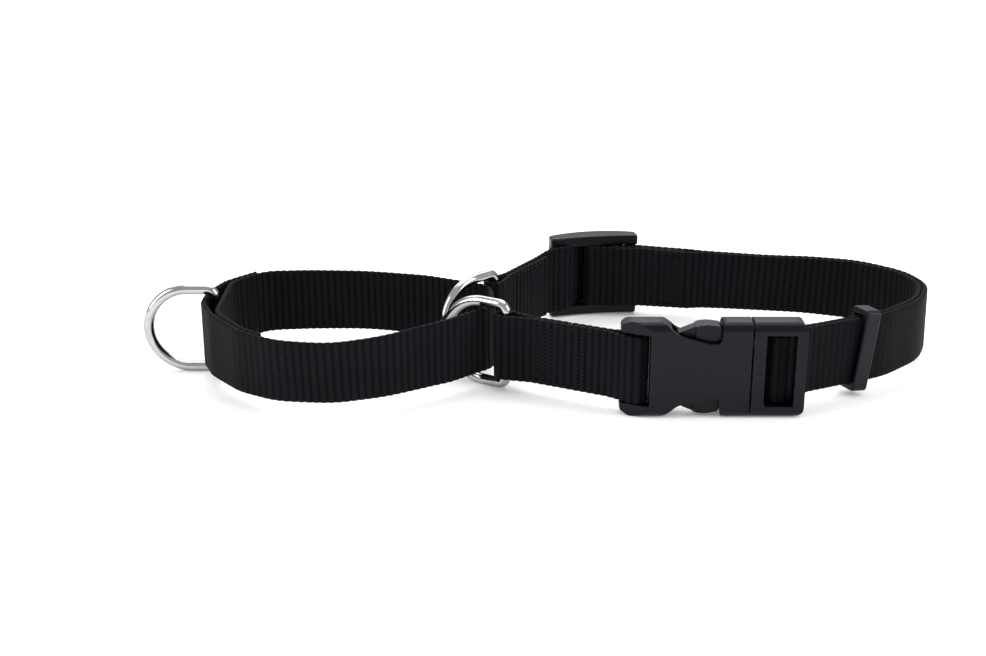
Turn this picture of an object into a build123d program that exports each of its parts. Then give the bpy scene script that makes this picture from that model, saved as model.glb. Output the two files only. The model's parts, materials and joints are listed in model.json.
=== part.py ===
from build123d import *
import math
import os

# Martingale collar in flat nylon webbing, standing on its edge. Millimetres, +Z up.
# +X runs from the leash ring to the far bend of the neck loop, and -Y is the buckle's side.
# Plan points are given about a working origin between the two connector rings. At the end,
# every piece is moved so that the origin is the centre of the footprint on the floor.

# ---- Webbing ----
WEB_WIDTH = 19.0
WEB_THICK = 1.5
LAYER_GAP = 0.1          # between two layers that are sewn together
WRAP_GAP = 0.25          # between a bar and the webbing folded round it
LAYER = WEB_THICK + LAYER_GAP

# ---- Rings ----
RING_WIRE = 2.9
RING_INNER_HEIGHT = WEB_WIDTH + 1.4
RING_ARM = 7.7           # bar centre line to the centre of the round end
RING_CORNER = 2.2        # bend between bar and arm, on the wire's centre line
RING_HEIGHT = RING_INNER_HEIGHT + 2 * RING_WIRE
MID_Z = RING_HEIGHT / 2
WEB_LOW = MID_Z - WEB_WIDTH / 2

FRONT_BAR = (3.6, -19.0)
REAR_BAR = (0.3, 10.0)
LEASH_BAR = (-79.4, -5.0)
FRONT_RING_ANGLE = 149.0  # plan direction from the bar to the round end, degrees from +X
REAR_RING_ANGLE = 223.0
LEASH_RING_ANGLE = 180.0

# ---- Side-release buckle, u along +X from the socket's strap end, w up from the middle ----
BUCKLE_X = 34.0
BUCKLE_Y = -36.5
BUCKLE_LENGTH = 49.1
BUCKLE_THICK = 8.0
BUCKLE_HEIGHT = RING_HEIGHT + 0.8  # its mouldings stand a little proud of the rings
BUCKLE_EDGE = 2.6        # rounding along the long edges
STRAP_WINDOW = WEB_WIDTH + 1.2
BAR_RADIUS = 1.3
SEAM_U = 34.6
SEAM_GAP = 0.3
SOCKET_BAR_U = 4.4
SOCKET_SLOT_U = SOCKET_BAR_U + BAR_RADIUS + WRAP_GAP + WEB_THICK + 0.25
SOCKET_BAR_V = 0.2
CAVITY_U = 13.2
CAVITY_HALF_THICK = 2.7
MOUTH_HALF_HEIGHT = 11.4
LIP_HALF_HEIGHT = 7.7
WINDOW_START_U = 11.0
WINDOW_END_U = 26.9
PLUG_WINDOW_U = (38.15, 46.2)
PLUG_BAR_U = 42.4
PLUG_CORNER = 3.0
PLUG_BAR_V = 1.2
END_BAR_BACK_V = -0.2
TONGUE_HALF = 3.6
TONGUE_TIP_U = 18.0
PRONG_HALF_THICK = CAVITY_HALF_THICK - 0.35
PRONG_PIVOT_U = 36.1
PRONG_PIVOT_W = 9.9
KNUCKLE_RADIUS = 1.3
KNUCKLE_CLEARANCE = 0.05
ARM_HALF = 1.0
SHOULDER_U = WINDOW_END_U - 0.5
HEAD_TIP_U = CAVITY_U + 1.3
HEAD_DROP = 1.0          # the heads stay this far inside the buckle's long edges
PAD_U = 19.6             # from here on the head is a full-thickness finger pad
PAD_STEP = 0.7           # and before it the head is this much thinner on each side

# ---- Tri-glide slider, x along it and y outward, from its centre bar ----
SLIDER_BAR = (31.6, 44.6)
SLIDER_ANGLE = 10.0
SLIDER_HALF_LENGTH = 14.0
SLIDER_RAIL = 3.0
SLIDER_PLAY_LOW = 0.2    # between the webbing's lower edge and the lower rail
SLIDER_PLAY_HIGH = 0.6
SLIDER_WINDOW = WEB_WIDTH + SLIDER_PLAY_LOW + SLIDER_PLAY_HIGH
SLIDER_BAR_RADIUS = 1.2
SLIDER_FOLD = SLIDER_BAR_RADIUS + 0.2 + WEB_THICK / 2  # middle of the fold round the centre bar
OUTER_BAR = 2.8
OUTER_BAR_NEAR = -0.4    # the outer bars' thickness runs from here
OUTER_BAR_FAR = 1.8      # to here
PASS_Y = OUTER_BAR_NEAR - 0.25 - WEB_THICK / 2  # the sliding layer beside the outer bars
CROSS_Y = SLIDER_FOLD + LAYER + 0.1             # and over the fold on the centre bar
LEAVE_Y = PASS_Y - 0.45  # where the three layers leave the slider together
LEAVE_STEP = LAYER + 0.1  # spacing of the layers there

# ---- Keeper ----
KEEPER_WIDTH = 5.0
KEEPER_WALL = 1.6
KEEPER_GAP = 0.3
KEEPER_EDGE_GAP = 0.6     # above and below the webbing, which lets the keeper sit askew
KEEPER_TILT = 8.0         # how far it leans along the band, degrees
KEEPER_X = 101.5

# ---- Doubled band of the neck loop: middle line in plan and bend radii ----
PLUG_BAR = (BUCKLE_X + PLUG_BAR_U, BUCKLE_Y + PLUG_BAR_V)
SOCKET_BAR = (BUCKLE_X + SOCKET_BAR_U, BUCKLE_Y + SOCKET_BAR_V)
BAND = [(85.0, -29.6), (108.5, -18.2), (121.5, -5.5), (127.2, 8.5), (124.0, 20.0),
        (112.0, 30.5), (97.0, 36.0), (75.0, 39.5)]
BAND_RADII = [12.0, 28.0, 28.0, 16.0, 16.0, 26.0, 50.0, 60.0]
BAND_CUT = (68.0, 40.3)  # where the band that leaves with the plug begins
CUT_GAP = 0.3
SLIDER_TAIL_END = (SLIDER_BAR[0] + SLIDER_HALF_LENGTH + 14.4, 41.0)
RING_TAIL_LENGTH = 28.5

# ---- Control loop: middle of the webbing in plan, from its outer end to its inner end ----
BAR_PLAY = 0.35          # between the leash ring's bar and the webbing on each side of it
LOOP_PLAY = 0.08         # added to the layer spacing where the loop's ends overlap
BESIDE_BAR = RING_WIRE / 2 + BAR_PLAY + WEB_THICK / 2
OUTSIDE_X = LEASH_BAR[0] - BESIDE_BAR
INSIDE_X = LEASH_BAR[0] + BESIDE_BAR
LOOP_OUTSIDE = [(-71.1, 18.2), (-78.5, 9.5), (OUTSIDE_X, -0.5), (OUTSIDE_X, -9.5), (-78.2, -18.5),
                (-69.0, -29.5), (-58.5, -35.6)]
LOOP_REST = [(-43.0, -36.9), (-29.0, -32.6), (-11.5, -22.6), (0.0, -12.0), (-1.0, 5.4),
             (-20.0, 14.6), (-38.0, 18.6), (-55.0, 19.6)]
INSIDE_START = -2.4      # where the overlap's inner layer begins along the rear run
INSIDE_END = 6.6         # and where it ends along the front run
LOOP_RADII = [12.0, 8.0, 8.0, 12.0, 15.0, 18.0, 25.0, 40.0, 15.0, 8.0, 7.0, 30.0, 60.0, 60.0,
              10.0, 8.0, 10.4, 13.4]

# ---- Sewing thread ----
THREAD = 0.3
STITCH_WIDTH = 0.6
ROW_INSET = 1.0          # sewn rows lie this far inside the webbing's edges
TACK_HEIGHT = WEB_WIDTH - 4 * ROW_INSET


def direction(angle):
    return math.cos(math.radians(angle)), math.sin(math.radians(angle))


def heading(start, end):
    length = math.dist(start, end)
    return (end[0] - start[0]) / length, (end[1] - start[1]) / length


def outward(along):
    """Left-hand normal of a plan direction."""
    return -along[1], along[0]


def local_point(origin, along, x, y):
    side = outward(along)
    return origin[0] + x * along[0] + y * side[0], origin[1] + x * along[1] + y * side[1]


def offset_points(points, distance):
    """The same line moved to its left by a distance, with mitred corners."""
    moved = []
    for i, point in enumerate(points):
        before = heading(points[max(i - 1, 0)], points[max(i, 1)])
        after = heading(points[min(i, len(points) - 2)], points[min(i + 1, len(points) - 1)])
        side = outward((before[0] + after[0], before[1] + after[1]))
        size = math.hypot(*side)
        mitre = distance / (size / 2) / size
        moved.append((point[0] + side[0] * mitre, point[1] + side[1] * mitre))
    return moved


def side_edges(points, radii, offset):
    """One side of a strip: the plan line shifted to its left, each corner an exact arc."""
    edges = []
    here = local_point(points[0], heading(points[0], points[1]), 0, offset)
    for i, radius in enumerate(radii):
        corner = points[i + 1]
        before = heading(points[i], corner)
        after = heading(corner, points[i + 2])
        turn = math.atan2(before[0] * after[1] - before[1] * after[0],
                          before[0] * after[0] + before[1] * after[1])
        reach = radius * math.tan(abs(turn) / 2)
        centre = local_point(corner, before, -reach, math.copysign(radius, turn))
        outer = heading(centre, corner)
        bend = radius - math.copysign(offset, turn * offset)
        middle = (centre[0] + outer[0] * bend, centre[1] + outer[1] * bend)
        enter = local_point(corner, before, -reach, offset)
        leave = local_point(corner, after, reach, offset)
        edges += [Line(here, enter), ThreePointArc(enter, middle, leave)]
        here = leave
    end = local_point(points[-1], heading(points[-2], points[-1]), 0, offset)
    return edges + [Line(here, end)]


def strip(points, radii):
    """Webbing on edge that follows a plan line, each corner rounded by its own radius."""
    left = side_edges(points, radii, WEB_THICK / 2)
    right = side_edges(points, radii, -WEB_THICK / 2)
    ends = [Line(left[-1] @ 1, right[-1] @ 1), Line(right[0] @ 0, left[0] @ 0)]
    outline = Wire([edge for curve in left + right + ends for edge in curve.edges()])
    return Pos(0, 0, WEB_LOW) * extrude(Face(outline), WEB_WIDTH, dir=(0, 0, 1))


def wrap(bar, along, radius, reach, near, side):
    """Corners of a fold round a bar at the start of a strap that runs along a direction.

    The fold goes from one side (side = 1 is the left) round the bar to the other. reach is
    where the two layers have come together, near each other by their layer distance.
    """
    corners = [(reach, side * near), (0.6, side * radius), (-radius, side * radius)]
    corners += [(x, -y) for x, y in reversed(corners)]
    return [local_point(bar, along, x, y) for x, y in corners]


def wrap_radii(radius):
    bend = radius * 0.98
    return [6.0, 3.0, bend, bend, 3.0, 6.0]


def d_ring(bar, angle):
    """Wire D-ring standing on its edge, with its straight bar upright at a plan point."""
    half = (RING_INNER_HEIGHT + RING_WIRE) / 2
    arm_start = RING_CORNER
    path = [
        Line((0, half - RING_CORNER), (0, RING_CORNER - half)),
        RadiusArc((0, RING_CORNER - half), (arm_start, -half), -RING_CORNER),
        Line((arm_start, -half), (RING_ARM, -half)),
        ThreePointArc((RING_ARM, -half), (RING_ARM + half, 0), (RING_ARM, half)),
        Line((RING_ARM, half), (arm_start, half)),
        RadiusArc((arm_start, half), (0, half - RING_CORNER), -RING_CORNER),
    ]
    wire = Wire([edge for curve in path for edge in curve.edges()])
    section = Plane(origin=(0, 0, 0), z_dir=(0, 1, 0)) * Circle(RING_WIRE / 2)
    ring = sweep(section, path=wire)
    upright = Location((bar[0], bar[1], MID_Z)) * Rot(0, 0, angle) * Rot(90, 0, 0)
    return upright * ring


def front_strap():
    along = heading(FRONT_BAR, SOCKET_BAR)
    length = math.dist(FRONT_BAR, SOCKET_BAR)
    ring_radius = RING_WIRE / 2 + WRAP_GAP + WEB_THICK / 2
    bar_radius = BAR_RADIUS + WRAP_GAP + WEB_THICK / 2
    half = LAYER / 2
    reach = 8.0
    middle = length / 2
    joint = 0.2          # half the distance between the strap's two sewn ends
    back = (-along[0], -along[1])
    points = [local_point(FRONT_BAR, along, middle - joint, half)]
    points += wrap(FRONT_BAR, along, ring_radius, reach, half, 1)
    points += wrap(SOCKET_BAR, back, bar_radius, reach, half, 1)
    points += [local_point(FRONT_BAR, along, middle + joint, half)]
    return strip(points, wrap_radii(ring_radius) + wrap_radii(bar_radius))


def slider_point(x, y):
    return local_point(SLIDER_BAR, direction(SLIDER_ANGLE), x, y)


def ring_end():
    """The strap's end folded round the rear ring, then through the slider to the band."""
    left_bar = slider_point(-11.5, PASS_Y)
    along = heading(REAR_BAR, left_bar)
    ring_radius = RING_WIRE / 2 + WRAP_GAP + WEB_THICK / 2
    half = LAYER / 2
    cut_heading = heading(BAND_CUT, BAND[-1])
    points = [local_point(REAR_BAR, along, RING_TAIL_LENGTH, -half)]
    points += wrap(REAR_BAR, along, ring_radius, 8.0, half, -1)
    points += [
        slider_point(-SLIDER_HALF_LENGTH - 0.2, PASS_Y - 0.6),
        slider_point(-9.5, PASS_Y),
        slider_point(-2.4, CROSS_Y),
        slider_point(2.4, CROSS_Y),
        slider_point(9.5, PASS_Y),
        slider_point(SLIDER_HALF_LENGTH, LEAVE_Y),
        local_point(SLIDER_TAIL_END, cut_heading, 1.5, LAYER),
        local_point(BAND_CUT, cut_heading, -CUT_GAP - 1.8, half),
        local_point(BAND_CUT, cut_heading, -CUT_GAP, half),
    ]
    radii = wrap_radii(ring_radius) + [6.0, 2.2, 2.5, 2.5, 2.2, 6.0, 6.0, 6.0]
    return strip(points, radii)


def sewn_stretch():
    """Start and end, in plan, of the straight stretch where the slider's fold is sewn."""
    start = slider_point(SLIDER_HALF_LENGTH, LEAVE_Y - 2 * LEAVE_STEP)
    end = local_point(SLIDER_TAIL_END, heading(BAND_CUT, BAND[-1]), 1.5, -LEAVE_STEP)
    return start, end


def slider_end():
    """The strap's other end, folded round the slider's centre bar and sewn to itself."""
    radius = SLIDER_FOLD
    cut_heading = heading(BAND_CUT, BAND[-1])
    half = LAYER / 2
    sewn_start, sewn_end = sewn_stretch()
    points = [
        local_point(BAND_CUT, cut_heading, -CUT_GAP, -half),
        local_point(BAND_CUT, cut_heading, -CUT_GAP - 1.8, -half),
        sewn_end,
        sewn_start,
        slider_point(7.5, PASS_Y - 2 * LEAVE_STEP),
        slider_point(1.2, -radius),
        slider_point(-radius, -radius),
        slider_point(-radius, radius),
        slider_point(1.0, radius),
        slider_point(7.7, PASS_Y - LAYER + 0.05),
        slider_point(SLIDER_HALF_LENGTH, LEAVE_Y - LEAVE_STEP),
        SLIDER_TAIL_END,
    ]
    bend = radius * 0.98
    return strip(points, [6.0, 6.0, 6.0, 3.0, 2.5, bend, bend, 2.2, 4.0, 6.0])


def buckle_band():
    """Both layers of the band from the cut at the back, round the bend, to the plug's bar."""
    half = LAYER / 2
    radius = BAR_RADIUS + WRAP_GAP + WEB_THICK / 2
    middle = BAND + [BAND_CUT]
    outer = offset_points(middle, -half)
    inner = offset_points(middle, half)
    along = heading(PLUG_BAR, BAND[0])
    fold = wrap(PLUG_BAR, along, radius, 6.5, half, 1)
    points = inner[::-1] + fold[1:-1] + outer
    inner_radii = [r - half for r in reversed(BAND_RADII)]
    outer_radii = [r + half for r in BAND_RADII]
    return strip(points, inner_radii + wrap_radii(radius)[1:-1] + outer_radii)


def loop_points():
    """The whole strip of the control loop, its inner end a layer inside its outer end."""
    inside = offset_points(LOOP_OUTSIDE, LAYER + LOOP_PLAY)
    rear_start = local_point(inside[0], heading(inside[0], inside[1]), INSIDE_START, 0)
    front_end = local_point(inside[5], heading(inside[5], inside[6]), INSIDE_END, 0)
    turns = [at_x(inside[0], inside[1], INSIDE_X), at_x(inside[4], inside[5], INSIDE_X)]
    return LOOP_OUTSIDE + LOOP_REST + [rear_start] + turns + [inside[5], front_end]


def at_x(start, end, x):
    """The point of a plan line that has a given X."""
    share = (x - start[0]) / (end[0] - start[0])
    return x, start[1] + share * (end[1] - start[1])


def control_loop():
    return strip(loop_points(), LOOP_RADII)


def at_buckle(piece):
    return Pos(BUCKLE_X, BUCKLE_Y, BUCKLE_HEIGHT / 2) * piece


def upright_prism(outline_points, radii, low, high):
    """A face outlined in the buckle's front view (u, w), extruded through its thickness."""
    outline = Wire(FilletPolyline(*outline_points, radius=radii, close=True).edges())
    face = Plane.XZ * Face(outline)
    return Pos(0, high, 0) * extrude(face, high - low, dir=(0, -1, 0))


def rounded_bar(start_u, end_u):
    """The buckle's cross-section, rounded along its four long edges, over a length."""
    section = Plane.YZ * RectangleRounded(BUCKLE_THICK, BUCKLE_HEIGHT, BUCKLE_EDGE)
    return Pos(start_u, 0, 0) * extrude(section, end_u - start_u, dir=(1, 0, 0))


def block(u0, u1, v0, v1, w0, w1):
    return Pos((u0 + u1) / 2, (v0 + v1) / 2, (w0 + w1) / 2) * Box(u1 - u0, v1 - v0, w1 - w0)


def upright_bar(u, v, radius, height):
    return Pos(u, v, 0) * Cylinder(radius, height)


def buckle_socket():
    half = BUCKLE_HEIGHT / 2
    thick = BUCKLE_THICK / 2
    top = [(0, half - 1.4), (2.4, half), (WINDOW_START_U, half), (15.2, LIP_HALF_HEIGHT + 2.2),
           (23.5, LIP_HALF_HEIGHT), (WINDOW_END_U - 0.7, LIP_HALF_HEIGHT), (WINDOW_END_U, half),
           (SEAM_U, half)]
    top_radii = [1.2, 3.0, 3.5, 4.5, 4.0, 1.2, 1.2, 0.5]
    bottom = [(u, -w) for u, w in reversed(top)]
    body = upright_prism(top + bottom, top_radii + top_radii[::-1], -thick, thick)
    body &= rounded_bar(0, SEAM_U)
    plan = [(-0.01, -0.8), (7.0, -thick), (SEAM_U, -thick), (SEAM_U, thick), (2.5, thick),
            (-0.01, 2.6)]
    plan_face = Face(Wire(FilletPolyline(*plan, radius=[0.6, 9.0, 0.5, 0.5, 3.0, 0.6],
                                         close=True).edges()))
    body &= Pos(0, 0, -half) * extrude(plan_face, BUCKLE_HEIGHT, dir=(0, 0, 1))
    window = STRAP_WINDOW / 2
    body -= block(-1, SOCKET_SLOT_U, -thick - 1, thick + 1, -window, window)
    body -= block(CAVITY_U, SEAM_U + 1, -CAVITY_HALF_THICK, CAVITY_HALF_THICK,
                  -MOUTH_HALF_HEIGHT, MOUTH_HALF_HEIGHT)
    body += upright_bar(SOCKET_BAR_U, SOCKET_BAR_V, BAR_RADIUS, STRAP_WINDOW + 1.0)
    return at_buckle(body)


def buckle_plug():
    half = BUCKLE_HEIGHT / 2
    thick = BUCKLE_THICK / 2
    start = SEAM_U + SEAM_GAP
    outline = [(start, -half), (BUCKLE_LENGTH, -half), (BUCKLE_LENGTH, half), (start, half)]
    body = upright_prism(outline, [0.5, PLUG_CORNER, PLUG_CORNER, 0.5], -thick, thick)
    body &= rounded_bar(start, BUCKLE_LENGTH)
    window = STRAP_WINDOW / 2
    body -= block(*PLUG_WINDOW_U, -thick - 1, thick + 1, -window, window)
    body -= block(PLUG_WINDOW_U[0], BUCKLE_LENGTH + 1, END_BAR_BACK_V, thick + 1, -window, window)
    body += upright_bar(PLUG_BAR_U, PLUG_BAR_V, BAR_RADIUS, STRAP_WINDOW + 1.0)
    body += block(TONGUE_TIP_U, start + 1, -1.8, 1.8, -TONGUE_HALF, TONGUE_HALF)
    pocket = KNUCKLE_RADIUS + KNUCKLE_CLEARANCE
    depth = 2 * PRONG_HALF_THICK + 0.4
    for side in (1, -1):
        w = side * PRONG_PIVOT_W
        body -= Pos(PRONG_PIVOT_U, 0, w) * Rot(90, 0, 0) * Cylinder(pocket, depth)
        body -= block(start - 1, PRONG_PIVOT_U, -depth / 2, depth / 2, w - pocket, w + pocket)
    return at_buckle(body)


def prong(side):
    """One latch arm with its head. side = 1 is the upper arm and -1 the lower one."""
    pivot = PRONG_PIVOT_W
    half = BUCKLE_HEIGHT / 2
    crown = half - HEAD_DROP
    outline = [(PRONG_PIVOT_U, pivot - ARM_HALF), (PRONG_PIVOT_U, pivot + ARM_HALF),
               (SHOULDER_U, pivot + ARM_HALF), (SHOULDER_U, crown - 0.4), (21.5, crown + 0.3),
               (HEAD_TIP_U, pivot), (HEAD_TIP_U + 0.4, LIP_HALF_HEIGHT - 0.7),
               (SHOULDER_U - 3.0, LIP_HALF_HEIGHT - 0.9), (SHOULDER_U + 1.0, pivot - ARM_HALF)]
    radii = [0.3, 0.3, 0.4, 0.8, 8.0, 1.2, 1.0, 2.5, 2.0]
    body = upright_prism(outline, radii, -PRONG_HALF_THICK, PRONG_HALF_THICK)
    for side_v in (1, -1):
        step = side_v * (PRONG_HALF_THICK - PAD_STEP)
        outside = side_v * (PRONG_HALF_THICK + 1)
        body -= block(HEAD_TIP_U - 1, PAD_U, min(step, outside), max(step, outside), 0, half)
    knuckle = Rot(90, 0, 0) * Cylinder(KNUCKLE_RADIUS, 2 * PRONG_HALF_THICK)
    body += Pos(PRONG_PIVOT_U, 0, pivot) * knuckle
    if side < 0:
        body = mirror(body, about=Plane.XY)
    return at_buckle(body)


def strap_slider():
    """Curved tri-glide: two rails joined by two outer bars and a round centre bar."""
    reach = SLIDER_HALF_LENGTH
    height = SLIDER_WINDOW + 2 * SLIDER_RAIL
    neck = ThreePointArc((-reach, -3.0), (0, -1.8), (reach, -3.0))
    right = Line((reach, -3.0), (reach, 1.8))
    outer = ThreePointArc((reach, 1.8), (0, 4.9), (-reach, 1.8))
    left = Line((-reach, 1.8), (-reach, -3.0))
    rail_face = make_face([neck, right, outer, left])
    rail_face = fillet(rail_face.vertices(), 1.1)
    body = extrude(rail_face, height, dir=(0, 0, 1))
    long_edges = body.edges().filter_by(GeomType.CIRCLE).sort_by(SortBy.LENGTH)[-4:]
    body = fillet(long_edges, 0.7)
    low = SLIDER_RAIL
    high = SLIDER_RAIL + SLIDER_WINDOW
    floor = WEB_LOW - SLIDER_PLAY_LOW - SLIDER_RAIL
    body -= block(-reach - 1, reach + 1, -6, 6, low, high)
    for side in (1, -1):
        near = side * (reach - OUTER_BAR)
        far = side * reach
        bar = block(min(near, far), max(near, far), OUTER_BAR_NEAR, OUTER_BAR_FAR, low - 0.5, high + 0.5)
        body += fillet(bar.edges().filter_by(Axis.Z), 0.6)
    body += Pos(0, 0, (low + high) / 2) * Cylinder(SLIDER_BAR_RADIUS, SLIDER_WINDOW + 1.0)
    return Location((SLIDER_BAR[0], SLIDER_BAR[1], floor)) * Rot(0, 0, SLIDER_ANGLE) * body


def keeper_frame():
    """Plan centre and direction of the keeper on the band's straight stretch."""
    along = heading(BAND[0], BAND[1])
    reach = (KEEPER_X - BAND[0][0]) / along[0]
    return local_point(BAND[0], along, reach, 0), along


def strap_keeper():
    inner_thick = 2 * WEB_THICK + LAYER_GAP + 2 * KEEPER_GAP
    inner_height = WEB_WIDTH + 2 * KEEPER_EDGE_GAP
    outer = Box(KEEPER_WIDTH, inner_thick + 2 * KEEPER_WALL, inner_height + 2 * KEEPER_WALL)
    outer = fillet(outer.edges().filter_by(Axis.X), 1.3)
    ends = outer.edges().group_by(Axis.X)
    outer = fillet(ends[0] + ends[-1], 0.6)
    outer -= Box(KEEPER_WIDTH + 1, inner_thick, inner_height)
    centre, along = keeper_frame()
    angle = math.degrees(math.atan2(along[1], along[0]))
    return Location((centre[0], centre[1], MID_Z)) * Rot(0, 0, angle) * Rot(0, KEEPER_TILT, 0) * outer


def tacks(origin, along, surface, places, rows=()):
    """Sewn bars across the webbing, and rows along it, lying on one of its faces.

    surface is the face's signed distance to the left of the line. places are the bars'
    distances along the line, and rows are (start, end) stretches sewn near both edges.
    """
    angle = math.degrees(math.atan2(along[1], along[0]))
    side = math.copysign(THREAD / 2, surface)
    threads = []
    for place in places:
        spot = local_point(origin, along, place, surface + side)
        bar = Box(STITCH_WIDTH, THREAD, TACK_HEIGHT)
        threads.append(Location((spot[0], spot[1], MID_Z)) * Rot(0, 0, angle) * bar)
    for start, end in rows:
        for edge in (1, -1):
            spot = local_point(origin, along, (start + end) / 2, surface + side)
            height = MID_Z + edge * (WEB_WIDTH / 2 - ROW_INSET)
            row = Box(end - start, THREAD, STITCH_WIDTH)
            threads.append(Location((spot[0], spot[1], height)) * Rot(0, 0, angle) * row)
    return threads


def front_strap_stitching():
    along = heading(FRONT_BAR, SOCKET_BAR)
    face = -(LAYER / 2 + WEB_THICK / 2)
    places = [10.5, 12.5, 14.5, 20.0, 22.0, 24.0]
    return tacks(FRONT_BAR, along, face, places, [(9.5, 25.0)])


def ring_end_stitching():
    along = heading(REAR_BAR, slider_point(-11.5, PASS_Y))
    face = -(LAYER / 2 + WEB_THICK / 2)
    return tacks(REAR_BAR, along, face, [11.0, 13.0, 20.0, 22.0, 24.0], [(10.0, 25.0)])


def slider_end_stitching():
    start, end = sewn_stretch()
    along = heading(start, end)
    length = math.dist(start, end)
    places = [length - 3.0, length - 5.0, length - 7.0, length - 11.0]
    return tacks(start, along, -WEB_THICK / 2, places, [(length - 12.0, length - 2.0)])


def control_loop_stitching():
    rear_start, rear_turn, _, front_start, front_end = loop_points()[-5:]
    front = heading(front_start, front_end)
    rear = heading(rear_start, rear_turn)
    threads = tacks(front_start, front, WEB_THICK / 2, [4.0, 5.6])
    threads += tacks(rear_start, rear, WEB_THICK / 2, [5.0, 6.6])
    return threads


def build():
    """Every node, as a list of its solids in the working frame."""
    return {
        "leash_ring": [d_ring(LEASH_BAR, LEASH_RING_ANGLE)],
        "front_ring": [d_ring(FRONT_BAR, FRONT_RING_ANGLE)],
        "rear_ring": [d_ring(REAR_BAR, REAR_RING_ANGLE)],
        "control_loop": [control_loop()],
        "front_strap": [front_strap()],
        "main_strap_ring_end": [ring_end()],
        "main_strap_slider_end": [slider_end()],
        "main_strap_buckle_band": [buckle_band()],
        "buckle_socket": [buckle_socket()],
        "buckle_plug": [buckle_plug()],
        "prong_upper": [prong(1)],
        "prong_lower": [prong(-1)],
        "strap_slider": [strap_slider()],
        "strap_keeper": [strap_keeper()],
        "front_strap_stitching": front_strap_stitching(),
        "ring_end_stitching": ring_end_stitching(),
        "slider_end_stitching": slider_end_stitching(),
        "control_loop_stitching": control_loop_stitching(),
    }


def main():
    os.makedirs("parts", exist_ok=True)
    nodes = build()
    boxes = [solid.bounding_box() for solids in nodes.values() for solid in solids]
    low = [min(getattr(box.min, axis) for box in boxes) for axis in "XYZ"]
    high = [max(getattr(box.max, axis) for box in boxes) for axis in "XYZ"]
    origin = ((low[0] + high[0]) / 2, (low[1] + high[1]) / 2, low[2])
    print("size", [round(high[i] - low[i], 3) for i in range(3)])
    print("origin in the working frame", [round(value, 4) for value in origin])
    shift = Pos(-origin[0], -origin[1], -origin[2])
    for name, solids in nodes.items():
        moved = [shift * solid for solid in solids]
        shape = moved[0] if len(moved) == 1 else Compound(children=moved)
        export_step(shape, f"parts/{name}.step")


main()
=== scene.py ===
import json
import math
import random

import bmesh
import bpy
import numpy as np
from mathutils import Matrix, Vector


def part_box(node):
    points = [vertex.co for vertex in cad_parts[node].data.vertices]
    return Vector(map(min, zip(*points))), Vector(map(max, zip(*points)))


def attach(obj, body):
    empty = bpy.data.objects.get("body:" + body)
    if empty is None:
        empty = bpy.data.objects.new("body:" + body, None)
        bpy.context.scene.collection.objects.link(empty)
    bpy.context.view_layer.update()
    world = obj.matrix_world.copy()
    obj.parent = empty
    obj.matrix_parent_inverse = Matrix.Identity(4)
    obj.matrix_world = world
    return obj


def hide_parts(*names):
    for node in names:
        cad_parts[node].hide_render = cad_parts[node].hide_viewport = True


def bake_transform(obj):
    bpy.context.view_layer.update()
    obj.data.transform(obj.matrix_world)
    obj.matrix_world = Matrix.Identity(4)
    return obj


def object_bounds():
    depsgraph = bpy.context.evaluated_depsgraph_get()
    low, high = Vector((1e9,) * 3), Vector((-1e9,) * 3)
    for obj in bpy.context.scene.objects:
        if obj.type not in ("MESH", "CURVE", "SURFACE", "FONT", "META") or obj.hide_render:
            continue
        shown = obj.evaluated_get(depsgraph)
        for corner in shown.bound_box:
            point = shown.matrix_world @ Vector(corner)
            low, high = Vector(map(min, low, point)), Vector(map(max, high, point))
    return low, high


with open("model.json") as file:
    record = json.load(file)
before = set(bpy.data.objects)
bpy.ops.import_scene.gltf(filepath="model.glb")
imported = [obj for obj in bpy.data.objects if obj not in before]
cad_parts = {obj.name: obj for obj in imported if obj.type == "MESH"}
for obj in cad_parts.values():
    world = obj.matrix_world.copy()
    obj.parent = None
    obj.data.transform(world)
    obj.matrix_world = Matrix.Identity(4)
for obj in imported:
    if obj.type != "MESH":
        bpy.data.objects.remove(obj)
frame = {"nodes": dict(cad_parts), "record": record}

# A martingale collar in black nylon webbing. Metres, in the row frame: +X from the leash ring to
# the far bend, -Y is the buckle's side, +Z up. The webbing follows the outlines of its CAD solids.

MM = 0.001
cad_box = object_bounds()
random.seed(7)

# ---- Webbing ----
WEB_WIDTH = 19.0 * MM
WEB_THICK = 1.5 * MM
RIB_PITCH = 2.05 * MM
RIB_DEPTH = 0.24 * MM      # from crest to valley, on each face
SCALLOP = 0.16 * MM        # how far the edges draw in between two ribs
STEPS_PER_RIB = 8
YARN_PITCH = 0.8 * MM
FACE_POINTS = 13           # across one face of the webbing
EDGE_POINTS = 5            # round one edge
EDGE_SHARE = 0.05          # of the half width, taken by the rounded edge
END_TAPER = 0.6 * MM       # heat-sealed length at a cut end
END_PINCH = 0.75           # thickness left at the sealed end
END_CURVE = 0.5            # power of the taper towards a cut end
RIB_ROUNDNESS = 0.75       # power of the sine that shapes a rib
SIDE_STEP = 0.1 * MM       # between the points of a centre line
SMOOTH_REACH = 2           # points on each side that a tangent is averaged over
END_TOLERANCE = 0.03 * MM  # by which a cut end may miss the webbing's thickness
SHARP_TURN = math.radians(60)
TOUCH = 0.01 * MM

# ---- Thread ----
THREAD_RADIUS = 0.17 * MM
THREAD_SIDES = 6
THREAD_END = 0.55          # of the thread's radius, left at the ends of a stitch
STITCH_SUNK = 0.8          # of half the webbing's thickness, where a stitch goes in
ZIGZAG_WIDTH = 1.3 * MM
ZIGZAG_PITCH = 1.1 * MM
ZIGZAG_SPREAD = (0.85, 1.1)
ZIGZAG_PROUD = 1.02        # of half the webbing's thickness, on top of the webbing
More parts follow.
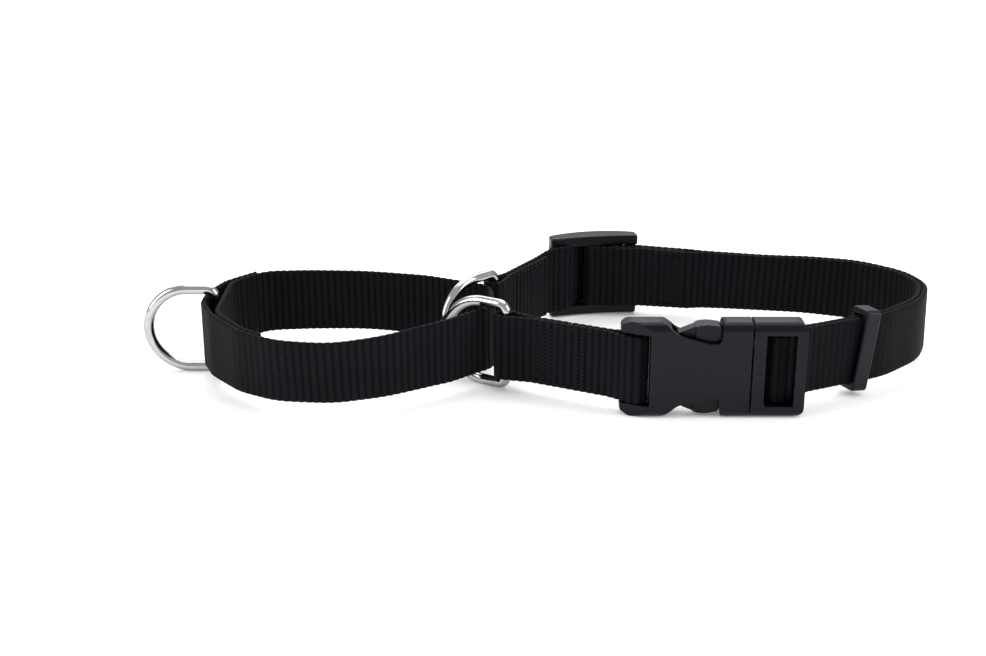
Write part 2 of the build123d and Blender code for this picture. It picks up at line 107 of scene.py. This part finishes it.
# One zigzag stitch: shares of its half width, of its rise and of half the webbing's thickness.
ZIGZAG_PATH = [(-1.0, 0.0, STITCH_SUNK), (-0.6, 0.2, ZIGZAG_PROUD),
               (0.6, 0.8, ZIGZAG_PROUD), (1.0, 1.0, STITCH_SUNK)]
ROW_STITCH = 2.4 * MM
ROW_GAP = 0.35 * MM
ROW_PROUD = 1.05           # of half the webbing's thickness, on top of the webbing
ROW_PARTS = 5              # a row's stitch comes up in its first part and goes in in its last


# ---------------------------------------------------------------- lines in plan
def lengths_along(points):
    steps = np.linalg.norm(np.diff(points, axis=0), axis=1)
    return np.concatenate([[0.0], np.cumsum(steps)])


def resampled(points, step):
    """The same line with its points evenly spaced."""
    along = lengths_along(points)
    count = max(2, int(round(along[-1] / step)) + 1)
    places = np.linspace(0.0, along[-1], count)
    return np.stack([np.interp(places, along, points[:, k]) for k in (0, 1)], axis=1)


def tangents(points):
    """Unit directions along a line, each averaged with its neighbours."""
    run = np.gradient(points, axis=0)
    span = 2 * SMOOTH_REACH + 1
    kernel = np.ones(span) / span
    run = np.stack([np.convolve(np.pad(run[:, k], SMOOTH_REACH, mode="edge"), kernel, "valid")
                    for k in (0, 1)], axis=1)
    return run / np.linalg.norm(run, axis=1)[:, None]


def left_of(directions):
    return np.stack([-directions[:, 1], directions[:, 0]], axis=1)


def upper_outline(node):
    """Plan outline of a webbing node, anticlockwise, round the rim of its upper edge face."""
    mesh = frame["nodes"][node].data
    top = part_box(node)[1].z
    rim = set()
    for face in mesh.polygons:
        corners = [mesh.vertices[i].co for i in face.vertices]
        if min(corner.z for corner in corners) < top - TOUCH:
            continue
        keys = [(round(corner.x, 6), round(corner.y, 6)) for corner in corners]
        for edge in zip(keys, keys[1:] + keys[:1]):
            if edge[::-1] in rim:
                rim.remove(edge[::-1])
            elif edge[0] != edge[1]:
                rim.add(edge)
    follow = dict(rim)
    chain = [min(follow)]
    while follow[chain[-1]] != chain[0]:
        chain.append(follow[chain[-1]])
    points = np.array(chain)
    x, y = points.T
    area = np.sum(x * np.roll(y, -1) - np.roll(x, -1) * y)
    return points if area > 0 else points[::-1]


def centre_line(node):
    """The middle of a webbing solid in plan, from one cut end to the other."""
    outline = upper_outline(node)
    count = len(outline)
    runs = np.roll(outline, -1, axis=0) - outline
    headings = np.arctan2(runs[:, 1], runs[:, 0])
    turns = (headings - np.roll(headings, 1) + math.pi) % (2 * math.pi) - math.pi
    sharp = np.abs(turns) > SHARP_TURN
    width = np.linalg.norm(runs, axis=1)
    ends = [i for i in range(count)
            if sharp[i] and sharp[(i + 1) % count] and abs(width[i] - WEB_THICK) < END_TOLERANCE]
    if len(ends) != 2:
        raise ValueError(f"{node} has {len(ends)} cut ends in plan, and a strip has two")
    first, last = ends[0] + 1, ends[1]
    side = resampled(outline[first:last + 1], SIDE_STEP)
    middle = side + left_of(tangents(side)) * WEB_THICK / 2
    return resampled(middle, SIDE_STEP)


def joined(*lines):
    """Several lines as one, turned so that each starts where the one before ends."""
    whole = lines[0]
    for line in lines[1:]:
        gaps = [(np.linalg.norm(a - b), i, j) for i, a in enumerate((whole[0], whole[-1]))
                for j, b in enumerate((line[0], line[-1]))]
        _, at_whole, at_line = min(gaps)
        whole = whole if at_whole else whole[::-1]
        line = line[::-1] if at_line else line
        whole = np.concatenate([whole, line])
    return whole


# ---------------------------------------------------------------- how the webbing leans
# Each entry: plan place, how far round it the lean reaches, and where the lower and the upper
# edge go there, in millimetres.
LOOP_LEANS = [
    ((-58.0, -40.0), 46.0, (0.0, 0.0, -0.6), (0.0, -4.5, -0.6)),
    ((-50.0, 13.0), 34.0, (0.0, 0.0, 0.6), (0.0, -1.5, 0.6)),
    ((-14.0, -15.0), 12.0, (0.25, 0.0, 0.0), (0.25, 0.0, 0.0)),
]
FRONT_LEANS = [
    ((-12.0, -24.0), 9.0, (-0.2, 0.0, 0.0), (-0.2, 0.0, 0.0)),
    ((27.2, -41.2), 4.0, (0.24, 0.0, 0.0), (0.24, 0.0, 0.0)),
]
MAIN_LEANS = [
    ((112.0, 8.0), 40.0, (0.0, 0.0, 0.0), (-1.2, -2.0, 0.0)),
    ((72.0, 32.0), 40.0, (0.0, 0.0, 0.0), (0.0, -3.5, 0.0)),
    ((62.6, -40.0), 8.0, (-0.7, 0.0, 0.0), (-0.7, 0.0, 0.0)),
    ((17.8, 39.9), 24.0, (0.0, 0.0, -0.1), (0.0, 0.0, 0.55)),
    ((5.0, 37.5), 13.0, (0.0, -3.2, -0.8), (0.0, -3.2, 1.3)),
]
# Where the ribs lie flatter: plan place, how far round it, and the share of their depth lost there.
LOOP_FLATS = [((-90.0, -26.0), 34.0, 0.8)]
MAIN_FLATS = [((90.0, -24.0), 44.0, 0.75), ((114.0, -6.0), 30.0, 0.8)]


def nearness(points, place, reach):
    """1 at a plan place in millimetres, falling smoothly to 0 at its reach."""
    away = np.linalg.norm(points[:, :2] / MM - np.array(place), axis=1) / reach
    weight = np.clip(1 - away, 0, 1)
    return weight * weight * (3 - 2 * weight)


def leaned(points, share, leans):
    """Plan points with heights, moved as the webbing leans. share is 0 at the lower edge."""
    moved = points.copy()
    for place, reach, lower, upper in leans:
        shift = np.outer(1 - share, lower) + np.outer(share, upper)
        moved += nearness(points, place, reach)[:, None] * shift * MM
    return moved


# ---------------------------------------------------------------- webbing
def section():
    """The webbing's cross-section as (across, out) shares of its half width and half thickness."""
    flat = np.linspace(-1 + EDGE_SHARE, 1 - EDGE_SHARE, FACE_POINTS)
    bend = np.linspace(0, math.pi, EDGE_POINTS + 2)[1:-1]
    top_edge = [(1 - EDGE_SHARE + EDGE_SHARE * math.sin(a), math.cos(a)) for a in bend]
    front = [(across, 1.0) for across in flat]
    back = [(across, -1.0) for across in flat[::-1]]
    low_edge = [(-across, -out) for across, out in top_edge]
    return np.array(front + top_edge + back + low_edge)


SECTION = section()


def placed(name, data):
    """A new object in the scene."""
    item = bpy.data.objects.new(name, data)
    bpy.context.collection.objects.link(item)
    return item


class Strap:
    """A strip of webbing on its edge along a plan line."""

    def __init__(self, line, nodes, leans, flats=()):
        self.nodes = nodes
        self.leans = leans
        self.flats = flats
        boxes = [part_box(node) for node in nodes]
        self.low = min(box[0].z for box in boxes)
        self.middle = (self.low + max(box[1].z for box in boxes)) / 2
        count = int(round(lengths_along(line)[-1] / RIB_PITCH * STEPS_PER_RIB))
        self.line = resampled(line, lengths_along(line)[-1] / count)
        self.along = lengths_along(self.line)
        self.side = left_of(tangents(self.line))

    def place(self, plan_points, heights):
        points = np.column_stack([plan_points, heights])
        return leaned(points, (heights - self.low) / WEB_WIDTH, self.leans)

    def on_face(self, along, across, out):
        """A point of the webbing from its length, height off the middle and distance off it."""
        plan = [np.interp(along, self.along, self.line[:, k])
                + out * np.interp(along, self.along, self.side[:, k]) for k in (0, 1)]
        return self.place(np.array([plan]), np.array([self.middle + across]))[0]

    def nearest(self, point):
        """(length along the strap, signed distance to its left) of a plan point."""
        gaps = np.linalg.norm(self.line - point, axis=1)
        i = int(np.argmin(gaps))
        return self.along[i], float(np.dot(point - self.line[i], self.side[i]))

    def ribbed(self):
        """How much of the ribs' depth is left at each point of the line."""
        left = np.ones(len(self.line))
        for place, reach, share in self.flats:
            left *= 1 - share * nearness(self.line, place, reach)
        return left

    def valley(self):
        """0 on a rib's crest and up to 1 in the valley between two ribs."""
        crest = np.abs(np.sin(math.pi * self.along / RIB_PITCH)) ** RIB_ROUNDNESS
        return self.ribbed() * (1 - crest)

    def mesh(self, name):
        """The ribbed strip as a piece in place of its CAD nodes.

        Its weave attribute counts ribs and yarns, and is 0 to 1 off a sealed end.
        """
        valley = self.valley()
        ends = np.minimum(self.along, self.along[-1] - self.along)
        unsealed = np.clip(ends / END_TAPER, 0, 1)
        pinch = END_PINCH + (1 - END_PINCH) * unsealed ** END_CURVE
        half = (WEB_THICK / 2 - RIB_DEPTH * valley) * pinch
        width = WEB_WIDTH / 2 - SCALLOP * valley
        around = len(SECTION)
        vertices = []
        weave = []
        for across, out in SECTION:
            plan = self.line + self.side * (out * half)[:, None]
            vertices.append(self.place(plan, self.middle + across * width))
            turned = (1 - abs(out)) * WEB_THICK / 2 * np.sign(across)
            weave.append(np.column_stack([self.along / RIB_PITCH,
                                          (across * width + turned) / YARN_PITCH,
                                          unsealed]))
        vertices = np.stack(vertices, axis=1).reshape(-1, 3)
        weave = np.stack(weave, axis=1).reshape(-1, 3)
        faces = []
        for i in range(len(self.line) - 1):
            for j in range(around):
                k = (j + 1) % around
                faces.append((i * around + j, (i + 1) * around + j,
                              (i + 1) * around + k, i * around + k))
        faces.append(tuple(range(around)))
        last = (len(self.line) - 1) * around
        faces.append(tuple(range(last + around - 1, last - 1, -1)))
        data = bpy.data.meshes.new(name)
        data.from_pydata(vertices.tolist(), [], faces)
        layer = data.attributes.new("weave", "FLOAT_VECTOR", "POINT")
        layer.data.foreach_set("vector", weave.astype(np.float32).ravel())
        layer = data.attributes.new("ribbed", "FLOAT", "POINT")
        layer.data.foreach_set("value", np.repeat(self.ribbed(), around).astype(np.float32))
        data.polygons.foreach_set("use_smooth", [True] * (len(faces) - 2) + [False] * 2)
        data.update()
        piece = placed(name, data)
        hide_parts(*self.nodes)
        data.materials.append(webbing)
        return piece


# ---------------------------------------------------------------- sewing
def tube(bm, path, radius):
    """A thread along a path of points, with its ends drawn in and closed."""
    rings = []
    for i, point in enumerate(path):
        ahead = path[min(i + 1, len(path) - 1)] - path[max(i - 1, 0)]
        ahead = Vector(ahead).normalized()
        side = ahead.orthogonal().normalized()
        up = ahead.cross(side)
        size = radius * (THREAD_END if i in (0, len(path) - 1) else 1.0)
        ring = []
        for k in range(THREAD_SIDES):
            angle = 2 * math.pi * k / THREAD_SIDES
            offset = side * math.cos(angle) + up * math.sin(angle)
            ring.append(bm.verts.new(Vector(point) + offset * size))
        rings.append(ring)
    for before, after in zip(rings, rings[1:]):
        for k in range(THREAD_SIDES):
            m = (k + 1) % THREAD_SIDES
            bm.faces.new((before[k], before[m], after[m], after[k]))
    bm.faces.new(rings[0][::-1])
    bm.faces.new(rings[-1])


def sewn_bars(node):
    """Box of every separate solid of a stitching node, as (lowest corner, highest corner)."""
    bm = bmesh.new()
    bm.from_mesh(frame["nodes"][node].data)
    bmesh.ops.remove_doubles(bm, verts=bm.verts, dist=TOUCH)
    left = set(bm.verts)
    boxes = []
    while left:
        group = [left.pop()]
        corners = []
        while group:
            vertex = group.pop()
            corners.append(vertex.co.copy())
            for edge in vertex.link_edges:
                other = edge.other_vert(vertex)
                if other in left:
                    left.remove(other)
                    group.append(other)
        corners = np.array(corners)
        boxes.append((corners.min(0), corners.max(0)))
    bm.free()
    return sorted(boxes, key=lambda box: tuple(box[0]))


def zigzag(bm, strap, along, face, low, tall):
    """A zigzag bar of thread, up one face of the webbing from the height low."""
    count = int(tall / ZIGZAG_PITCH)
    for k in range(count):
        bottom = low + tall * k / count - strap.middle
        top = low + tall * (k + 1) / count - strap.middle
        rise = 0.5 * (top - bottom)
        for direction, start in ((1, bottom), (-1, bottom + rise)):
            half = ZIGZAG_WIDTH / 2 * random.uniform(*ZIGZAG_SPREAD)
            path = [strap.on_face(along + direction * half * across, start + rise * up, face * out)
                    for across, up, out in ZIGZAG_PATH]
            tube(bm, path, THREAD_RADIUS)


def straight_row(bm, strap, along, face, height, length):
    """A row of straight stitches on one face of the webbing, at one height off its middle."""
    count = max(1, int(length / ROW_STITCH))
    for k in range(count):
        start = along - length / 2 + length * k / count + ROW_GAP / 2
        end = along - length / 2 + length * (k + 1) / count - ROW_GAP / 2
        part = (end - start) / ROW_PARTS
        path = [strap.on_face(start, height, face * STITCH_SUNK),
                strap.on_face(start + part, height, face * ROW_PROUD),
                strap.on_face(end - part, height, face * ROW_PROUD),
                strap.on_face(end, height, face * STITCH_SUNK)]
        tube(bm, path, THREAD_RADIUS)


def stitching(name, node, strap, body):
    """Zigzag bars and straight rows of thread that lie where the CAD has its sewn bars."""
    bm = bmesh.new()
    for low, high in sewn_bars(node):
        along, out = strap.nearest((low[:2] + high[:2]) / 2)
        face = math.copysign(WEB_THICK / 2, out)
        tall = high[2] - low[2]
        if tall > ZIGZAG_WIDTH:
            zigzag(bm, strap, along, face, low[2], tall)
        else:
            length = math.hypot(*(high[:2] - low[:2]))
            height = (low[2] + high[2]) / 2 - strap.middle
            straight_row(bm, strap, along, face, height, length)
    data = bpy.data.meshes.new(name)
    bm.to_mesh(data)
    bm.free()
    data.polygons.foreach_set("use_smooth", [True] * len(data.polygons))
    piece = placed(name, data)
    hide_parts(node)
    data.materials.append(thread)
    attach(piece, body)


# ---------------------------------------------------------------- materials
# Colours are linear. A pair is the dark and the light end of a material's own variation; the
# webbing's pair also spans the painted shade in its rib valleys.
YARN_COLOURS = ((0.0005, 0.0005, 0.0007, 1), (0.0056, 0.0052, 0.0078, 1))
SEALED_COLOUR = (0.0025, 0.0024, 0.0034, 1)
YARN_RELIEF = 0.12 * MM
# Painted shade of the ribs, as shares of the yarn colour: the valleys between ribs are painted
# darker, as if the ribs shaded them, and webbing whose ribs lie flat gets an even, middle painted
# shade.
VALLEY_SHADE_TONE = 0.4
CREST_TONE = 1.0
FLAT_SHADE_TONE = 0.66           # of webbing whose ribs lie flat
THREAD_COLOURS = ((0.0015, 0.0015, 0.002, 1), (0.009, 0.0087, 0.0115, 1))
TWIST_RELIEF = 0.05 * MM
PLASTIC_COLOURS = ((0.0014, 0.0015, 0.0028, 1), (0.0024, 0.0025, 0.0041, 1))
WORN_COLOUR = (0.02, 0.02, 0.0235, 1)
EDGE_RADIUS = 0.28 * MM    # of the plastic's edges, in its shading only
GRAIN_RELIEF = 0.02 * MM
CHROME_COLOURS = ((0.42, 0.412, 0.405, 1), (0.52, 0.512, 0.505, 1))
POLISH_RELIEF = 0.01 * MM
PAPER_COLOURS = ((0.9, 0.9, 0.9, 1), (0.93, 0.93, 0.93, 1))
# The floor's glow is painted light: it lifts the shadows cast on the floor and lights the collar
# faintly from below.
PAPER_FILL_GLOW = 0.15
# Sockets that the mix node names alike for numbers, vectors and colours.
MIX_LOW, MIX_HIGH, MIX_RESULT = 6, 7, 2


class Nodes:
    """Short calls for building one material's nodes."""

    def __init__(self, name):
        self.material = bpy.data.materials.new(name)
        self.material.use_nodes = True
        self.tree = self.material.node_tree
        self.shader = self.tree.nodes["Principled BSDF"]

    def add(self, kind, inputs=(), **settings):
        node = self.tree.nodes.new(kind)
        for key, value in settings.items():
            setattr(node, key, value)
        for key, value in dict(inputs).items():
            self.connect(value, node.inputs[key])
        return node

    def connect(self, value, socket):
        if isinstance(value, bpy.types.NodeSocket):
            self.tree.links.new(value, socket)
        else:
            socket.default_value = value

    def math(self, operation, *values):
        node = self.tree.nodes.new("ShaderNodeMath")
        node.operation = operation
        for socket, value in zip(node.inputs, values):
            self.connect(value, socket)
        return node.outputs[0]

    def vector_math(self, operation, *values):
        node = self.add("ShaderNodeVectorMath", dict(enumerate(values)), operation=operation)
        return node.outputs["Value" if operation == "DOT_PRODUCT" else "Vector"]

    def blend_colour(self, share, low, high):
        node = self.tree.nodes.new("ShaderNodeMix")
        node.data_type = "RGBA"
        self.connect(share, node.inputs["Factor"])
        self.connect(low, node.inputs[MIX_LOW])
        self.connect(high, node.inputs[MIX_HIGH])
        return node.outputs[MIX_RESULT]

    def span(self, value, low, high, to_low=0.0, to_high=1.0):
        node = self.add("ShaderNodeMapRange", {"Value": value, "From Min": low, "From Max": high,
                                               "To Min": to_low, "To Max": to_high})
        return node.outputs[0]

    def noise(self, vector, scale, detail=2.0, roughness=0.5):
        node = self.add("ShaderNodeTexNoise", {"Vector": vector, "Scale": scale, "Detail": detail,
                                               "Roughness": roughness})
        return node.outputs["Fac"]

    def place(self):
        return self.tree.nodes.new("ShaderNodeTexCoord").outputs["Object"]

    def bump(self, height, distance, strength, normal=None):
        node = self.add("ShaderNodeBump", {"Height": height, "Distance": distance,
                                           "Strength": strength})
        if normal is not None:
            self.connect(normal, node.inputs["Normal"])
        self.connect(node.outputs[0], self.shader.inputs["Normal"])

    def set(self, **values):
        for key, value in values.items():
            self.connect(value, self.shader.inputs[key.replace("_", " ")])


def webbing_material():
    nodes = Nodes("webbing")
    weave = nodes.add("ShaderNodeAttribute", attribute_name="weave").outputs["Vector"]
    parts = nodes.add("ShaderNodeSeparateXYZ", {0: weave}).outputs
    rib_count, yarn_count, unsealed = parts[0], parts[1], parts[2]
    rib = nodes.math("ABSOLUTE", nodes.math("SINE", nodes.math("MULTIPLY", rib_count, math.pi)))
    odd = nodes.math("MULTIPLY", nodes.math("FLOOR", rib_count), 0.5)
    turn = nodes.math("MULTIPLY", nodes.math("ADD", yarn_count, odd), math.pi)
    yarn = nodes.math("ABSOLUTE", nodes.math("SINE", turn))
    fibre = nodes.noise(nodes.vector_math("MULTIPLY", weave, (0.9, 9.0, 1.0)), 1.0, 3.0, 0.6)
    counts = nodes.vector_math("FLOOR", nodes.vector_math("MULTIPLY", weave, (1.0, 1.0, 0.0)))
    cell = nodes.add("ShaderNodeTexWhiteNoise", {"Vector": counts},
                     noise_dimensions="3D").outputs["Value"]
    patches = nodes.noise(nodes.place(), 60.0, 2.0)
    ribbed = nodes.add("ShaderNodeAttribute", attribute_name="ribbed").outputs["Fac"]
    # Painted shade: the colour darkens in the valleys between the ribs and on flattened ribs, and
    # the specular level follows it.
    crest = nodes.span(rib, 0.1, 0.9, VALLEY_SHADE_TONE - FLAT_SHADE_TONE, CREST_TONE - FLAT_SHADE_TONE)
    crest = nodes.math("MULTIPLY_ADD", ribbed, crest, FLAT_SHADE_TONE)
    tone = nodes.math("MULTIPLY", nodes.span(yarn, 0.0, 1.0, 0.5, 1.0), crest)
    tone = nodes.math("MULTIPLY", tone, nodes.span(fibre, 0.3, 0.7, 0.7, 1.2))
    tone = nodes.math("MULTIPLY", tone, nodes.span(cell, 0.0, 1.0, 0.85, 1.15))
    tone = nodes.math("MULTIPLY", tone, nodes.span(patches, 0.35, 0.65, 0.85, 1.15))
    colour = nodes.blend_colour(tone, *YARN_COLOURS)
    colour = nodes.blend_colour(unsealed, SEALED_COLOUR, colour)
    relief = nodes.math("ADD", nodes.math("MULTIPLY", yarn, 0.65),
                        nodes.math("MULTIPLY", fibre, 0.35))
    nodes.set(Base_Color=colour, Roughness=nodes.span(fibre, 0.3, 0.7, 0.62, 0.85),
              Specular_IOR_Level=nodes.span(crest, 0.0, 1.0, 0.01, 0.095),
              Sheen_Weight=0.02, Sheen_Roughness=0.45, Sheen_Tint=(0.75, 0.77, 0.85, 1))
    nodes.bump(nodes.math("MULTIPLY", relief, unsealed), YARN_RELIEF, 0.75)
    return nodes.material


def thread_material():
    nodes = Nodes("thread")
    place = nodes.place()
    twist = nodes.add("ShaderNodeTexWave", {"Vector": place, "Scale": 900.0, "Distortion": 2.0,
                                            "Detail": 1.0}, bands_direction="DIAGONAL")
    fuzz = nodes.noise(place, 2500.0, 2.0)
    colour = nodes.blend_colour(nodes.math("MULTIPLY", twist.outputs["Fac"], fuzz),
                                *THREAD_COLOURS)
    nodes.set(Base_Color=colour, Roughness=nodes.span(fuzz, 0.3, 0.7, 0.45, 0.65),
              Specular_IOR_Level=0.14, Sheen_Weight=0.02)
    nodes.bump(twist.outputs["Fac"], TWIST_RELIEF, 0.6)
    return nodes.material


def plastic_material():
    nodes = Nodes("acetal")
    place = nodes.place()
    rounded = nodes.add("ShaderNodeBevel", {"Radius": EDGE_RADIUS}, samples=6).outputs[0]
    flat = nodes.add("ShaderNodeNewGeometry").outputs["Normal"]
    edge = nodes.span(nodes.vector_math("DOT_PRODUCT", rounded, flat), 0.8, 0.995, 1.0, 0.0)
    grain = nodes.noise(place, 4200.0, 2.0, 0.6)
    smudge = nodes.noise(place, 70.0, 3.0, 0.6)
    worn = nodes.math("MULTIPLY", edge, nodes.span(nodes.noise(place, 350.0, 3.0), 0.4, 0.6))
    colour = nodes.blend_colour(nodes.span(smudge, 0.3, 0.7), *PLASTIC_COLOURS)
    colour = nodes.blend_colour(nodes.math("MULTIPLY", worn, 0.55), colour, WORN_COLOUR)
    roughness = nodes.math("ADD", nodes.span(smudge, 0.3, 0.7, 0.3, 0.4),
                           nodes.math("MULTIPLY", worn, -0.04))
    nodes.set(Base_Color=colour, Roughness=roughness, Specular_IOR_Level=0.2,
              Specular_Tint=(0.92, 0.95, 1.0, 1))
    nodes.bump(grain, GRAIN_RELIEF, 0.6, rounded)
    return nodes.material


def chrome_material():
    nodes = Nodes("chrome")
    place = nodes.place()
    cloud = nodes.noise(place, 130.0, 3.0, 0.6)
    lines = nodes.noise(nodes.vector_math("MULTIPLY", place, (1.0, 1.0, 14.0)), 700.0, 3.0, 0.7)
    colour = nodes.blend_colour(nodes.span(cloud, 0.3, 0.7), *CHROME_COLOURS)
    nodes.set(Base_Color=colour, Metallic=1.0, Specular_Tint=(0.3, 0.3, 0.31, 1),
              Roughness=nodes.math("ADD", nodes.span(cloud, 0.3, 0.7, 0.08, 0.16),
                                   nodes.span(lines, 0.5, 0.75, 0.0, 0.1)))
    nodes.bump(lines, POLISH_RELIEF, 0.35)
    return nodes.material


webbing = webbing_material()
thread = thread_material()
plastic = plastic_material()
chrome = chrome_material()


def dress(node, material):
    """Gives a CAD node that stays in view its material."""
    piece = frame["nodes"][node]
    if not piece.material_slots:
        piece.data.materials.append(material)
    for slot in piece.material_slots:
        slot.link = "OBJECT"
        slot.material = material


for part in frame["record"]["subparts"]:
    if part["material_slot"] == "chrome_wire":
        dress(part["node"], chrome)
    elif part["material_slot"] == "black_acetal":
        dress(part["node"], plastic)

# ---------------------------------------------------------------- the straps
main_nodes = ["main_strap_ring_end", "main_strap_buckle_band", "main_strap_slider_end"]
main_line = joined(*[centre_line(node) for node in main_nodes])
main_strap = Strap(main_line, main_nodes, MAIN_LEANS, MAIN_FLATS)
front_strap = Strap(centre_line("front_strap"), ["front_strap"], FRONT_LEANS)
control_loop = Strap(centre_line("control_loop"), ["control_loop"], LOOP_LEANS, LOOP_FLATS)

main_piece = main_strap.mesh("main_strap_webbing")
front_piece = front_strap.mesh("front_strap_webbing")
loop_piece = control_loop.mesh("control_loop_webbing")
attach(front_piece, "collar")
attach(loop_piece, "control_loop")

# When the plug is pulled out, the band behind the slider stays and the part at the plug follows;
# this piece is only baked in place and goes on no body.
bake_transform(main_piece)

stitching("front_strap_thread", "front_strap_stitching", front_strap, "collar")
stitching("ring_end_thread", "ring_end_stitching", main_strap, "collar")
stitching("slider_end_thread", "slider_end_stitching", main_strap, "collar")
stitching("control_loop_thread", "control_loop_stitching", control_loop, "control_loop")

# ---------------------------------------------------------------- floor, light and camera
FLOOR_SIZE = 8.0
bpy.ops.mesh.primitive_plane_add(size=FLOOR_SIZE, location=(0, 0, cad_box[0].z))
floor = bpy.context.object
floor.name = "floor"
# The floor glows faintly: painted light that fills the shadows on it.
paper = Nodes("paper")
paper.set(Base_Color=paper.blend_colour(paper.noise(paper.place(), 3.0), *PAPER_COLOURS),
          Roughness=0.9, Specular_IOR_Level=0.1,
          Emission_Color=(1, 1, 1, 1), Emission_Strength=PAPER_FILL_GLOW)
floor.data.materials.append(paper.material)

WORLD_LIGHT = 0.62
WORLD_COLOUR = (0.95, 0.97, 1.0, 1)
SUN_STRENGTH = 1.3
SUN_SPREAD = math.radians(50)
SUN_TILT = (math.radians(-12), math.radians(8), 0)
# Each soft box: its name, place, width and height, and power. All of them aim at the origin.
SOFT_BOXES = [
    ("back_box", (-0.1, 0.9, 0.8), (1.4, 0.6), 8.0),
    ("left_box", (-1.0, -0.3, 0.5), (0.5, 0.8), 7.0),
    ("right_box", (1.1, -0.4, 0.6), (0.5, 0.8), 8.0),
]

world = bpy.data.worlds.new("studio")
world.use_nodes = True
background = world.node_tree.nodes["Background"]
background.inputs["Color"].default_value = WORLD_COLOUR
background.inputs["Strength"].default_value = WORLD_LIGHT
bpy.context.scene.world = world

sun = bpy.data.lights.new("overhead", "SUN")
sun.energy = SUN_STRENGTH
sun.angle = SUN_SPREAD
placed("overhead", sun).rotation_euler = SUN_TILT

for name, spot, size, power in SOFT_BOXES:
    light = bpy.data.lights.new(name, "AREA")
    light.shape = "RECTANGLE"
    light.size, light.size_y = size
    light.energy = power
    lamp = placed(name, light)
    lamp.location = spot
    lamp.rotation_euler = (-Vector(spot)).to_track_quat("-Z", "Y").to_euler()

CAMERA_PLACE = (-13.8356 * MM, -414.7147 * MM, 160.4 * MM)
CAMERA_PITCH = math.radians(70)
CAMERA_LENS = 54.77
CAMERA_SENSOR = 36.0
CAMERA_NEAR = 0.01
camera_data = bpy.data.cameras.new("camera")
camera_data.sensor_width = CAMERA_SENSOR
camera_data.lens = CAMERA_LENS
camera_data.clip_start = CAMERA_NEAR
camera = placed("camera", camera_data)
camera.location = CAMERA_PLACE
camera.rotation_euler = (CAMERA_PITCH, 0, 0)
bpy.context.scene.camera = camera
bpy.context.scene.view_settings.view_transform = "Standard"

bpy.context.view_layer.update()
